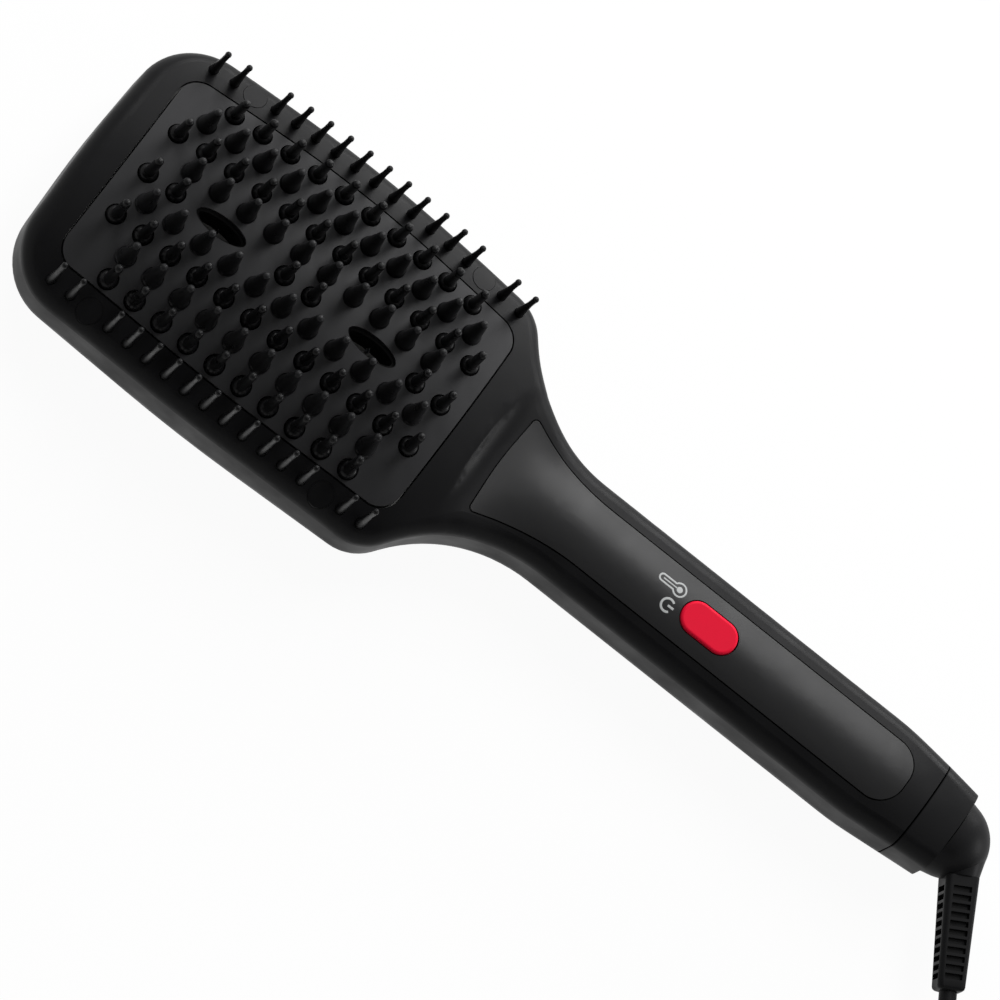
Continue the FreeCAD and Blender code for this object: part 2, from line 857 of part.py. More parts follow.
def switch_plunger():
    return rod(button_x, 0, plunger_r, board_top + switch_height - 0.5, plunger_top)


def indicator_led():
    x = button_x - led_step
    y = 2.5
    return turned([(0, board_top), (1.9, board_top), (1.9, board_top + 1), (1.5, board_top + 1)]
                  + round_tip(1.5, board_top + 5), x, y)


def power_triac():
    x = board_start + triac_step
    body = box(x, x + 10, -2.4, 2.4, board_top, board_top + 4.6)
    tab = box(x + 10, x + 15, -2.4, 2.4, board_top, board_top + 1.2)
    return joined([body, tab]).cut(rod(x + 12.7, 0, 1.4, 0, 60))


def mains_capacitor():
    x = board_end - capacitor_step
    case = box(x, x + 16, -4, 4, board_top, board_top + 5.6)
    return case.makeFillet(0.8, [e for e in case.Edges if e.BoundBox.ZMax > board_top + 5])


def end_cap():
    """Closing piece of the handle, with a tongue inside the housings and a seat for the bush."""
    tail = box(cap_seam, tail_end + 5, -60, 60, -5, 80)
    tail_form = joined([front_outer.common(tail), back_outer.common(tail)])
    tongue_box = box(cap_seam - 2, cap_seam, -60, 60, -5, 80)
    inside = joined([deck_hollow.common(tongue_box).common(box(0, 400, -60, 60, split_z, 80)),
                     back_hollow.common(tongue_box)])
    room = axle(cap_seam - 3, cap_seam, bush_r + 1.5)
    return joined([tail_form, inside.cut(room)]).cut(axle(cap_seam - 1, tail_end + 1, bush_r))


def swivel_bush():
    return axle(cap_seam, tail_end, bush_r).cut(axle(cap_seam - 1, tail_end + 1, spigot_r + bush_gap))


def contact_block():
    half = contact_half + 0.5
    return box(ring_first - 1, ring_first + ring_step + ring_width + 1, -half, half, wall + 0.5, contact_z)


def contact_springs():
    """Brass leaves that bow up from their block to the slip rings."""
    top = swivel_z - ring_r - contact_gap
    leaves = []
    for i in range(2):
        x = ring_first + i * ring_step
        low = contact_z
        far_y = contact_half
        near_y = contact_half - 0.9
        outer = Part.Arc(V(x, -far_y, low), V(x, 0, top), V(x, far_y, low)).toShape()
        inner = Part.Arc(V(x, near_y, low), V(x, 0, top - 0.4), V(x, -near_y, low)).toShape()
        feet = [Part.makeLine(V(x, far_y, low), V(x, near_y, low)),
                Part.makeLine(V(x, -near_y, low), V(x, -far_y, low))]
        face = Part.Face(Part.Wire([outer, feet[0], inner, feet[1]]))
        leaves.append(face.extrude(V(ring_width, 0, 0)))
    return group(leaves)


def mains_leads():
    """Two wires from the contact block to the board, one each side of the last screw boss."""
    x = ring_first - 1
    end_z = split_z + board_thick / 2
    z = contact_z - 1.8
    return group([wire([(x, y / 2, z), (x - 4, y / 2, z), (x - 8, y, (z + end_z) / 2), (x - 11.5, y, end_z),
                        (board_end, y, end_z)])
                  for y in (-7.0, 7.0)])


pivot = V(tail_end + elbow_pivot, 0, swivel_z)
leave = V(math.cos(math.radians(elbow_angle)), -math.sin(math.radians(elbow_angle)), 0)


def swivel_elbow():
    """Turning knuckle with a hollow spigot through the bush."""
    x = tail_end + elbow_gap
    profile = Part.Wire([
        Part.makeLine(V(x, 0, 0), V(x, elbow_r, 0)),
        Part.makeLine(V(x, elbow_r, 0), V(x + 3, elbow_r - 0.7, 0)),
        Part.Arc(V(x + 3, elbow_r - 0.7, 0), V(x + 9.3, elbow_r - 4.1, 0), V(x + 13.2, 0, 0)).toShape(),
        Part.makeLine(V(x + 13.2, 0, 0), V(x, 0, 0)),
    ])
    hub = Part.Face(profile).revolve(V(0, 0, 0), ALONG, 360).Solids[0]
    hub.translate(V(0, 0, swivel_z))
    nose = Part.makeCone(7.4, elbow_nose_r, elbow_nose, pivot, leave).cut(axle(spigot_start, x, 30))
    spigot = axle(spigot_start, x + 1, spigot_r)
    return joined([hub, nose, spigot]).cut([axle(spigot_start - 1, pivot.x, spigot_bore_r), sleeve_bar()])


def slip_rings():
    rings = []
    for i in range(2):
        x = ring_first + i * ring_step
        rings.append(axle(x, x + ring_width, ring_r).cut(axle(x - 1, x + ring_width + 1, spigot_r)))
    return group(rings)


def retaining_clip():
    ring = axle(cap_seam - 1.2, cap_seam - 0.2, bush_r - 0.6)
    ring = ring.cut(axle(cap_seam - 2, cap_seam, spigot_r))
    return ring.cut(box(cap_seam - 2, cap_seam, -2.4, 2.4, swivel_z, swivel_z + 20))


sleeve_turn = FreeCAD.Rotation(UP, leave).multiply(FreeCAD.Rotation(UP, -elbow_angle))
sleeve_place = FreeCAD.Placement(pivot + leave * elbow_nose, sleeve_turn)


def sleeve_bar():
    """Square bar with round corners that narrows to the cord, in its place on the knuckle."""
    sections = []
    for half, z in ((relief_root_half, 0), (relief_end_half, relief_length)):
        square = outline(both_sides([(-half, half, relief_corner_r), (half, half, relief_corner_r)]))
        square.translate(V(0, 0, z))
        sections.append(square)
    bar = Part.makeLoft(sections, True, True)
    bar.Placement = sleeve_place
    return bar


def strain_relief():
    """Sleeve with a ladder of notches on each of its four faces."""
    pitch = relief_length * (1 - 2 * relief_plain) / relief_notches
    cuts = []
    for i in range(relief_notches):
        z0 = relief_length * relief_plain + pitch * (i + (1 - notch_share) / 2)
        z1 = z0 + pitch * notch_share
        half = relief_root_half + (relief_end_half - relief_root_half) * (z0 + z1) / (2 * relief_length)
        near = half - notch_depth
        width = notch_half_width
        for sign in (1, -1):
            xs = sorted((sign * near, sign * (half + 1)))
            cuts.append(box(xs[0], xs[1], -width, width, z0, z1))
            cuts.append(box(-width, width, xs[0], xs[1], z0, z1))
    for cut in cuts:
        cut.Placement = sleeve_place.multiply(cut.Placement)
    return sleeve_bar().cut(cuts)


mouth = pivot + leave * (elbow_nose + relief_length)
# The cord's lead, from the mouth of the strain relief down to the start of the coil
lead_steps = [(7.5, -12.9904, 0), (19.8, -23.3, -4.4), (34.8, -28.8, -11.6), (54.8, -28.8, -11.6)]
# The cord's tail, from the end of the coil down to the plug
tail_steps = [(0, 20, 0), (8.5, 34.7, -6.8), (23.2, 43.2, -13.6), (39.2, 43.2, -13.6)]


def lead_points():
    return [tuple(mouth)] + [tuple(mouth + V(*step)) for step in lead_steps]


def coil_stations():
    """Quarter-turn stations of the coil, seen from its centre: angle in quarters, radius and layer.
    The loops wind in and out again by turns and climb one layer in the half turn between."""
    step = coil_radial_step / 4
    radius = coil_inner_r + coil_layers[0] * step
    stations = [(0, radius, 0.0, 0.0)]
    quarter = 0
    for layer, count in enumerate(coil_layers):
        inward = -1 if layer % 2 == 0 else 1
        for _ in range(count):
            quarter += 1
            radius += inward * step
            stations.append((quarter, radius, float(layer), 0.0))
        if layer < len(coil_layers) - 1:
            stations.append((quarter + 1, radius, layer + 0.5, 1.0))
            stations.append((quarter + 2, radius, layer + 1.0, 0.0))
            quarter += 2
    return stations


def biarc(a, heading_a, b, heading_b):
    """Two arcs that leave a and reach b along the given headings."""
    chord = b - a
    both = heading_a + heading_b
    spread = 2 * (1 - heading_a.dot(heading_b))
    run = (-chord.dot(both) + math.sqrt(chord.dot(both) ** 2 + spread * chord.dot(chord))) / spread
    joint = (a + heading_a * run + b - heading_b * run) * 0.5
    return [bend(a, heading_a, joint), bend(b, heading_b * -1, joint)]


def bend(a, heading, b):
    """Arc from a along a heading to b."""
    chord = b - a
    along = V(chord).normalize()
    aside = heading - along * heading.dot(along)
    angle = heading.getAngle(along)
    middle = (a + b) * 0.5 + aside.normalize() * (chord.Length / 2 * math.tan(angle / 2))
    return Part.Arc(a, middle, b)


def coil_path():
    """Path of the coil, anticlockwise from the end of the lead, as biarcs of a quarter turn."""
    start = V(*lead_points()[-1])
    stations = coil_stations()
    centre = start + V(0, stations[0][1], 0)
    slope = 1.5 * coil_layer_step / math.pi
    places = []
    for quarter, radius, layer, climbing in stations:
        angle = (quarter - 1) * math.pi / 2
        place = centre + V(radius * math.cos(angle), radius * math.sin(angle), layer * coil_layer_step)
        heading = V(-math.sin(angle), math.cos(angle), climbing * slope / radius).normalize()
        places.append((place, heading))
    edges = [Part.makeLine(start, start + places[0][1] * 2 * cord_r)]
    ahead = places[0][1] * 2 * cord_r
    arcs = []
    for (a, heading_a), (b, heading_b) in zip(places, places[1:]):
        pair = biarc(a, heading_a, b, heading_b)
        arcs.append(pair[0].toShape())
        arcs.append(Part.Arc(pair[1].EndPoint, pair[1].value(
            (pair[1].FirstParameter + pair[1].LastParameter) / 2), pair[1].StartPoint).toShape())
    for arc in arcs:
        arc.translate(ahead)
    last = places[-1][0] + ahead
    edges += arcs + [Part.makeLine(last, last + places[-1][1] * 2 * cord_r)]
    return Part.Wire(edges), last + places[-1][1] * 2 * cord_r


def least_gap(path):
    """Smallest clear distance between turns of a tube, measured on points along its path."""
    points = path.discretize(Distance=2.0)
    apart = int(8 * cord_r / 2.0)
    least = 1e9
    for i, a in enumerate(points):
        for b in points[i + apart:]:
            least = min(least, (a - b).Length)
    return least - 2 * cord_r


def tail_points(start):
    return [tuple(start)] + [tuple(start + V(*step)) for step in tail_steps]


coil_wire, coil_end = coil_path()
plug_face = V(*tail_points(coil_end)[-1])


def cord_lead():
    path, radii = route(lead_points())
    print("lead radii", [round(r) for r in radii], "length", round(path.Length))
    return tube(path, cord_r)


def cord_coil():
    solid = tube(coil_wire, cord_r)
    print("coil length", round(coil_wire.Length), "least gap", round(least_gap(coil_wire), 2),
          "volume ratio", round(solid.Volume / (math.pi * cord_r ** 2 * coil_wire.Length), 4))
    return solid


def cord_tail():
    path, radii = route(tail_points(coil_end))
    print("tail radii", [round(r) for r in radii], "length", round(path.Length))
    return tube(path, cord_r)


def plug_section(x, half_width, half_height, r):
    corners = [(half_width, half_height, r), (-half_width, half_height, r),
               (-half_width, -half_height, r), (half_width, -half_height, r)]
    section = outline(corners)
    section.Placement = FreeCAD.Placement(V(x, plug_face.y, plug_face.z),
                                          FreeCAD.Rotation(V(0, 1, 0), V(0, 0, 1), V(1, 0, 0), "YZX"))
    return section


def plug_body():
    """Flat two-pin plug, waisted towards the cord."""
    x = plug_face.x
    sections = [plug_section(x, plug_neck_half - 2, plug_neck_half - 2.2, 3.0),
                plug_section(x + plug_length * 0.35, plug_neck_half + 1.5, plug_neck_half - 1.2, 4.0),
                plug_section(x + plug_length * 0.75, plug_half_width, plug_half_height, 5.5),
                plug_section(x + plug_length, plug_half_width, plug_half_height, 5.5)]
    return Part.makeLoft(sections, True, True)


def plug_pins():
    pins = []
    x = plug_face.x + plug_length
    for s in (1, -1):
        at = V(x, plug_face.y + s * plug_pin_y, plug_face.z)
        pin = Part.makeCylinder(plug_pin_r, plug_pin_length, at, V(1, 0, 0))
        end = [e for e in pin.Edges if e.BoundBox.XMin > x + plug_pin_length - 0.01]
        pins.append(pin.makeFillet(1.2, end))
    return group(pins)


pieces = {
    "front_housing": front_housing,
    "back_housing": back_housing,
    "heated_plate": heated_plate,
    "heated_bristles": heated_bristles,
    "pin_bristles": pin_bristles,
    "bristle_carrier": bristle_carrier,
    "edge_bristles_left": lambda: edge_bristles(1),
    "edge_bristles_right": lambda: edge_bristles(-1),
    "edge_strips_left": lambda: edge_strips(1),
    "edge_strips_right": lambda: edge_strips(-1),
    "screw_caps": screw_caps,
    "head_screws": head_screws,
    "handle_screws": handle_screws,
    "board_screws": board_screws,
    "plate_screws": plate_screws,
    "heater_bars": heater_bars,
    "heater_springs": heater_springs,
    "thermistor": thermistor,
    "thermal_fuse": thermal_fuse,
    "ion_nozzles": ion_nozzles,
    "ion_needles": ion_needles,
    "ion_generator": ion_generator,
    "heater_leads": heater_leads,
    "sensor_leads": sensor_leads,
    "ion_leads": ion_leads,
    "handle_inlay": handle_inlay,
    "power_button": power_button,
    "control_board": control_board,
    "tact_switch": tact_switch,
    "switch_plunger": switch_plunger,
    "indicator_led": indicator_led,
    "power_triac": power_triac,
    "mains_capacitor": mains_capacitor,
    "end_cap": end_cap,
    "swivel_bush": swivel_bush,
    "contact_block": contact_block,
    "contact_springs": contact_springs,
    "mains_leads": mains_leads,
    "swivel_elbow": swivel_elbow,
    "slip_rings": slip_rings,
    "retaining_clip": retaining_clip,
    "strain_relief": strain_relief,
    "cord_lead": cord_lead,
    "cord_coil": cord_coil,
    "cord_tail": cord_tail,
    "plug_body": plug_body,
    "plug_pins": plug_pins,
}

brush = body_wire.BoundBox
shift = V(-(brush.XMin + brush.XMax) / 2, 0, 0)
os.makedirs("parts", exist_ok=True)
print("shift", round(shift.x, 3), "mouth", mouth + shift, "plug", plug_face + shift)
for name, make in pieces.items():
    shape = make()
    shape.translate(shift)
    shape.exportStep("parts/" + name + ".step")
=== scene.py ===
import math

import bpy
import numpy as np
from mathutils import Matrix, Vector


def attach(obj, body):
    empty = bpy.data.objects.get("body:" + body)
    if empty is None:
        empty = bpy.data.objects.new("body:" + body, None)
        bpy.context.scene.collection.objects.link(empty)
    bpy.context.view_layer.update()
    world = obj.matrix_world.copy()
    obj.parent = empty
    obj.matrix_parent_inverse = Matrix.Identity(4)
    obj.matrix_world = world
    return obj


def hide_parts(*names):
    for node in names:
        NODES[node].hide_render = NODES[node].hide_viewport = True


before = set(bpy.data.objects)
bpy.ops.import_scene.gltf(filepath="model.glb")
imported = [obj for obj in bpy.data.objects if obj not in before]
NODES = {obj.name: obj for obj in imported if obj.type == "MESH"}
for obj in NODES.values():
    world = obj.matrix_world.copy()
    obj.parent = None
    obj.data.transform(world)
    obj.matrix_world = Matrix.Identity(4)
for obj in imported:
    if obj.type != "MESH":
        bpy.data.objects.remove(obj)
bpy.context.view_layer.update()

bl_info = {
    "name": "Heated styling brush",
    "version": (1, 0, 0),
    "blender": (4, 5, 0),
    "location": "View3D > Sidebar > Brush",
    "description": "Dresses a heated paddle brush: finishes, signs, sleeve, cord and studio",
    "category": "Object",
}

MM = 0.001
MM_PER_METRE = 1000
BLACK = (0, 0, 0, 1)
WHITE = (1, 1, 1, 1)
UPWARD = np.array([0.0, 0.0, 1.0])

# The brush's own places, in millimetres from the centre of its box, on the back that it rests on.
# HEAD_X is the middle of the head, and TAIL_END the end of the handle.
HEAD_X = -81.743
TAIL_END = 230.9 + HEAD_X
CAP_SEAM = TAIL_END - 11.3
DECK_Z = 28.6
DECK_CROSS_R = 30.0
SWIVEL_Z = 14.2
ELBOW_PIVOT = 6.1
ELBOW_NOSE = 8.0
ELBOW_ANGLE = math.radians(60.0)
SLEEVE_LENGTH = 31.4

# The knuckle's pivot, the direction that the cord leaves in, and the mouth of its sleeve
PIVOT = np.array([TAIL_END + ELBOW_PIVOT, 0.0, SWIVEL_Z])
LEAVE = np.array([math.cos(ELBOW_ANGLE), -math.sin(ELBOW_ANGLE), 0.0])
MOUTH = PIVOT + LEAVE * (ELBOW_NOSE + SLEEVE_LENGTH)


def linear(hex_colour):
    """Linear red, green and blue of an sRGB hex colour."""
    values = [int(hex_colour[i:i + 2], 16) / 255 for i in (1, 3, 5)]
    return [v / 12.92 if v <= 0.04045 else ((v + 0.055) / 1.055) ** 2.4 for v in values]


def colour(name, description, hex_colour):
    """A colour in the sidebar."""
    return bpy.props.FloatVectorProperty(
        name=name, description=description, subtype="COLOR", size=3, min=0.0, max=1.0,
        default=linear(hex_colour))


def length(name, description, millimetres):
    """A length in the sidebar."""
    return bpy.props.FloatProperty(
        name=name, description=description, unit="LENGTH", min=0.0, default=millimetres * MM)


class BrushColours(bpy.types.PropertyGroup):
    """Colours of the outside."""
    shell: colour("Shell", "Soft-touch housings", "#0f0f10")
    plate: colour("Plate", "Ceramic coat of the hot plate", "#303031")
    # The cones' colour is darker than the plate's coat: painted shade
    cone: colour("Cones", "Ceramic coat of the heated cones", "#1c1c1d")
    nylon: colour("Pins", "Cool pins and guard bristles", "#0d0d0e")
    panel: colour("Panel", "Panel let into the handle", "#0e0e0f")
    button: colour("Button", "Push button", "#d41532")
    print_ink: colour("Print", "Ink of the two signs", "#a4a6a6")
    cord: colour("Cord", "Cord, sleeve and plug", "#0d0d0e")


class BrushSizes(bpy.types.PropertyGroup):
    """Sizes of what this file adds."""
    cord_diameter: length("Cord diameter", "Outside diameter of the cord", 5.0)
    sign_line: length("Sign line", "Width of the printed lines", 0.5)
    sign_rise: length("Ink height", "How far the ink stands above the panel", 0.04)
    sleeve_root: length("Sleeve root", "Half width of the sleeve at the knuckle", 4.75)
    sleeve_end: length("Sleeve end", "Half width of the sleeve where the cord leaves", 3.9)
    notch_depth: length("Notch depth", "Depth of the sleeve's notches", 1.3)


def colours():
    return bpy.context.scene.brush_colours


def sizes():
    return bpy.context.scene.brush_sizes


def add(tree, kind, inputs=None, **settings):
    """Adds a node with its settings, and sets or links its sockets."""
    made = tree.nodes.new(kind)
    for key, value in settings.items():
        setattr(made, key, value)
    for key, value in (inputs or {}).items():
        if isinstance(value, bpy.types.NodeSocket):
            tree.links.new(value, made.inputs[key])
        else:
            made.inputs[key].default_value = value
    return made


def empty_tree(owner):
    """The node tree of a new material or world, without the nodes that it starts with."""
    owner.use_nodes = True
    owner.node_tree.nodes.clear()
    return owner.node_tree


def finish(name, rgb, roughness, metallic=0.0, grain=0.6, depth=0.02, mottle=6.0, spread=0.12,
           polish=0.08, coat=0.0, gloss=0.5, joint=None):
    """A moulded, coated or drawn surface. Its grain is a fine bump, so wide and so deep in
    millimetres. A broader mottle makes the colour lighter and darker by spread and the roughness
    by polish. Gloss is how much of the room a face shows when seen straight on: 0.5 is bare
    plastic, less is a dull lacquer. Joint is a stretch along the handle, in millimetres, over which
    the shade in a joint fades out."""
    material = bpy.data.materials.new(name)
    tree = empty_tree(material)
    place = add(tree, "ShaderNodeTexCoord").outputs["Object"]
    broad = add(tree, "ShaderNodeTexNoise", {
        "Vector": place, "Scale": MM_PER_METRE / mottle, "Detail": 3.0}).outputs["Fac"]
    fine = add(tree, "ShaderNodeTexNoise", {
        "Vector": place, "Scale": MM_PER_METRE / grain, "Detail": 2.0}).outputs["Fac"]
    dark = [v * (1 - spread) for v in rgb] + [1.0]
    light = [min(1.0, v * (1 + spread)) for v in rgb] + [1.0]
    body = add(tree, "ShaderNodeMix", {"Factor": broad, "A": dark, "B": light},
               data_type="RGBA").outputs[2]
    rough = add(tree, "ShaderNodeMapRange", {
        "Value": broad, "From Min": 0.3, "From Max": 0.7,
        "To Min": roughness - polish, "To Max": roughness + polish})
    bump = add(tree, "ShaderNodeBump", {"Height": fine, "Strength": 0.6, "Distance": depth * MM})
    sheen = gloss
    if joint:
        along = add(tree, "ShaderNodeSeparateXYZ", {"Vector": place}).outputs["X"]
        clear = add(tree, "ShaderNodeMapRange", {
            "Value": along, "From Min": joint[0] * MM, "From Max": joint[1] * MM}).outputs[0]
        body = add(tree, "ShaderNodeMix", {"Factor": clear, "A": BLACK, "B": body},
                   data_type="RGBA").outputs[2]
        sheen = add(tree, "ShaderNodeMath", {0: clear, 1: gloss}, operation="MULTIPLY").outputs[0]
    shader = add(tree, "ShaderNodeBsdfPrincipled", {
        "Base Color": body, "Roughness": rough.outputs[0], "Metallic": metallic,
        "Specular IOR Level": sheen, "Coat Weight": coat, "Coat Roughness": 0.25,
        "Normal": bump.outputs[0]})
    add(tree, "ShaderNodeOutputMaterial", {"Surface": shader.outputs[0]})
    return material


def dress(material, *names):
    """Gives CAD nodes a finish in place of the plain one that they were packed with."""
    for name in names:
        for slot in NODES[name].material_slots:
            slot.material = material


def show(name, data):
    """A new object at the origin of the scene."""
    made = bpy.data.objects.new(name, data)
    bpy.context.scene.collection.objects.link(made)
    return made


def sheet(name, corners, material):
    """A flat sheet of the studio between four corners, in metres."""
    mesh = bpy.data.meshes.new(name)
    mesh.from_pydata(corners, [], [(0, 1, 2, 3)])
    mesh.materials.append(material)
    return show(name, mesh)


def grid_faces(rows, columns, wrap_rows):
    """Four-sided faces between neighbours of a grid whose columns wrap from the last to the first,
    and whose rows may."""
    i = np.arange(rows if wrap_rows else rows - 1)[:, None]
    j = np.arange(columns)[None, :]
    next_i = (i + 1) % rows
    next_j = (j + 1) % columns
    corners = [i * columns + j, i * columns + next_j,
               next_i * columns + next_j, next_i * columns + j]
    return np.stack(np.broadcast_arrays(*corners), axis=-1).reshape(-1, 4)


def surface(name, points, wrap_rows=False, sharp=35.0):
    """A closed piece from a grid of points in millimetres: each row is a closed section, and the
    first and last rows are capped unless the rows wrap. Edges that turn by more than the angle
    sharp, in degrees, are sharp."""
    rows, columns = points.shape[:2]
    faces = grid_faces(rows, columns, wrap_rows).tolist()
    if not wrap_rows:
        faces.append(list(range(columns - 1, -1, -1)))
        faces.append(list(range((rows - 1) * columns, rows * columns)))
    mesh = bpy.data.meshes.new(name)
    mesh.from_pydata((points.reshape(-1, 3) * MM).tolist(), [], faces)
    mesh.update()
    mesh.shade_smooth()
    mesh.set_sharp_from_angle(angle=math.radians(sharp))
    return show(name, mesh)


def full_turn(count):
    """Even angles of one full turn."""
    return np.linspace(0, 2 * np.pi, count, endpoint=False)


def blunt(wave, order):
    """A cosine or sine to the power of two over the order, with its sign: with both, a circle
    becomes an ellipse of that order, which has blunt corners and flat sides."""
    return np.sign(wave) * np.abs(wave) ** (2 / order)


def panel_height(y):
    """Height of the panel: the deck's top less the square of the distance from its middle line over
    twice the radius of its crown."""
    return DECK_Z - y * y / (2 * DECK_CROSS_R)


def printed_line(name, path, width, rise, closed):
    """A printed line: a flat section with round shoulders carried along a path on the panel. The
    section is an ellipse of the fourth order, so its top is flat, and it stands across the path's
    direction and upright. An open line has flat ends."""
    order, columns = 4, 16
    ahead = np.roll(path, -1, 0) - np.roll(path, 1, 0)
    if not closed:
        ahead[0] = path[1] - path[0]
        ahead[-1] = path[-1] - path[-2]
    ahead /= np.linalg.norm(ahead, axis=1)[:, None]
    across = np.stack([-ahead[:, 1], ahead[:, 0]], axis=1)
    turn = full_turn(columns)
    aside = blunt(np.cos(turn), order) * width / 2
    up = blunt(np.sin(turn), order) * rise
    flat = path[:, None, :] + across[:, None, :] * aside[None, :, None]
    z = panel_height(flat[..., 1]) + up[None, :]
    points = np.concatenate([flat, z[..., None]], axis=2)
    return surface(name, points[:, ::-1], wrap_rows=closed)


def arc(centre, radius, first, last, count):
    """Points of an arc, in degrees from the handle's long axis."""
    turn = np.radians(np.linspace(first, last, count))
    return np.stack([centre[0] + radius * np.cos(turn), centre[1] + radius * np.sin(turn)], axis=1)


def level_line(first, last, y, count):
    """Points of a line along the handle."""
    x = np.linspace(first, last, count)
    return np.stack([x, np.full_like(x, y)], axis=1)


class BRUSH_OT_stage(bpy.types.Operator):
    """Puts up the camera, the soft lamps, the white room, the floor and a black card"""
    bl_idname = "brush.stage"
    bl_label = "Stage"
    # The camera, fitted to the photo: the directions to its right, up and back, and its place
    camera_right = (0.780076, 0.572857, 0.251626)
    camera_up = (-0.619307, 0.764205, 0.180135)
    camera_back = (-0.089102, -0.296353, 0.950913)
    camera_place = (-0.21775, -0.72133, 2.31596)
    sensor_mm = 36.0
    lens_mm = 324.0
    sight = 20.0
    # Each lamp's name, place, width, height and watts. All of them face the middle of the brush.
    lamps = (
        ("high_softbox", (0.12, 1.05, 1.33), 0.5, 1.0, 18.5),
        ("low_softbox", (0.1, 1.6, 0.35), 1.6, 0.5, 26.0),
        ("right_softbox", (1.5, 0.5, 0.22), 0.6, 0.25, 7.0),
        ("left_softbox", (-0.88, 0.96, 0.93), 0.5, 0.5, 6.0),
    )
    lit_point = (0.0, 0.0, 0.02)
    # The even light of the room, and its white where it is seen
    room_light = 0.3
    room_white = 1.0
    # Half the floor's side, how far it lies below the brush, and how much of it is its own white
    floor_half = 6.0
    floor_drop = 0.0002
    own_white = 0.95
    # Half the black card's width, its place, its lower edge and its upper edge
    card_half, card_y, card_low, card_high = 0.9, -0.55, 0.42, 1.55

    def execute(self, context):
        context.scene.view_settings.view_transform = "Standard"
        self.camera(context.scene)
        for lamp in self.lamps:
            self.lamp(*lamp)
        self.room(context.scene)
        self.floor()
        self.flag()
        return {"FINISHED"}

    def camera(self, scene):
        data = bpy.data.cameras.new("camera")
        data.sensor_width = self.sensor_mm
        data.lens = self.lens_mm
        data.clip_end = self.sight
        camera = show("camera", data)
        turn = Matrix((self.camera_right, self.camera_up, self.camera_back)).transposed()
        camera.matrix_world = Matrix.Translation(self.camera_place) @ turn.to_4x4()
        scene.camera = camera

    def lamp(self, name, place, wide, tall, power):
        data = bpy.data.lights.new(name, "AREA")
        data.shape = "RECTANGLE"
        data.size = wide
        data.size_y = tall
        data.energy = power
        lamp = show(name, data)
        lamp.location = place
        facing = Vector(self.lit_point) - Vector(place)
        lamp.rotation_euler = facing.to_track_quat("-Z", "Y").to_euler()

    def seen(self, tree):
        """One where the camera, a mirror or glass looks at a surface, and nought for the light that
        the surface gives."""
        rays = add(tree, "ShaderNodeLightPath").outputs
        mirrored = add(tree, "ShaderNodeMath", {
            0: rays["Is Glossy Ray"], 1: rays["Is Transmission Ray"]}, operation="MAXIMUM")
        return add(tree, "ShaderNodeMath", {
            0: rays["Is Camera Ray"], 1: mirrored.outputs[0]}, operation="MAXIMUM").outputs[0]

    def room(self, scene):
        """White where the camera, a mirror or glass sees it, and a dimmer even light elsewhere."""
        world = bpy.data.worlds.new("white_room")
        tree = empty_tree(world)
        strength = add(tree, "ShaderNodeMapRange", {
            "Value": self.seen(tree), "To Min": self.room_light, "To Max": self.room_white})
        light = add(tree, "ShaderNodeBackground", {
            "Color": WHITE, "Strength": strength.outputs[0]})
        add(tree, "ShaderNodeOutputWorld", {"Surface": light.outputs[0]})
        scene.world = world

    def floor(self):
        """White paper that keeps a faint shadow: most of what is seen of it is its own white, and
        the rest is lit."""
        material = bpy.data.materials.new("matte_paper")
        tree = empty_tree(material)
        share = add(tree, "ShaderNodeMath", {
            0: self.seen(tree), 1: self.own_white}, operation="MULTIPLY")
        paper = add(tree, "ShaderNodeBsdfDiffuse", {"Color": linear("#f2f2f2") + [1.0]})
        white = add(tree, "ShaderNodeEmission", {"Color": WHITE, "Strength": 1.0})
        mix = add(tree, "ShaderNodeMixShader", {
            0: share.outputs[0], 1: paper.outputs[0], 2: white.outputs[0]})
        add(tree, "ShaderNodeOutputMaterial", {"Surface": mix.outputs[0]})
        side = self.floor_half
        corners = [(-side, -side, 0), (side, -side, 0), (side, side, 0), (-side, side, 0)]
        floor = sheet("floor", corners, material)
        floor.location.z = -self.floor_drop

    def flag(self):
        """A black card beside the table, out of the picture, that the brush's near side mirrors."""
        material = bpy.data.materials.new("black_felt")
        tree = empty_tree(material)
        felt = add(tree, "ShaderNodeBsdfDiffuse", {"Color": linear("#060606") + [1.0]})
        add(tree, "ShaderNodeOutputMaterial", {"Surface": felt.outputs[0]})
        wide, y, low, high = self.card_half, self.card_y, self.card_low, self.card_high
        corners = [(-wide, y, low), (wide, y, low), (wide, y, high), (-wide, y, high)]
        flag = sheet("flag", corners, material)
        flag.visible_camera = False


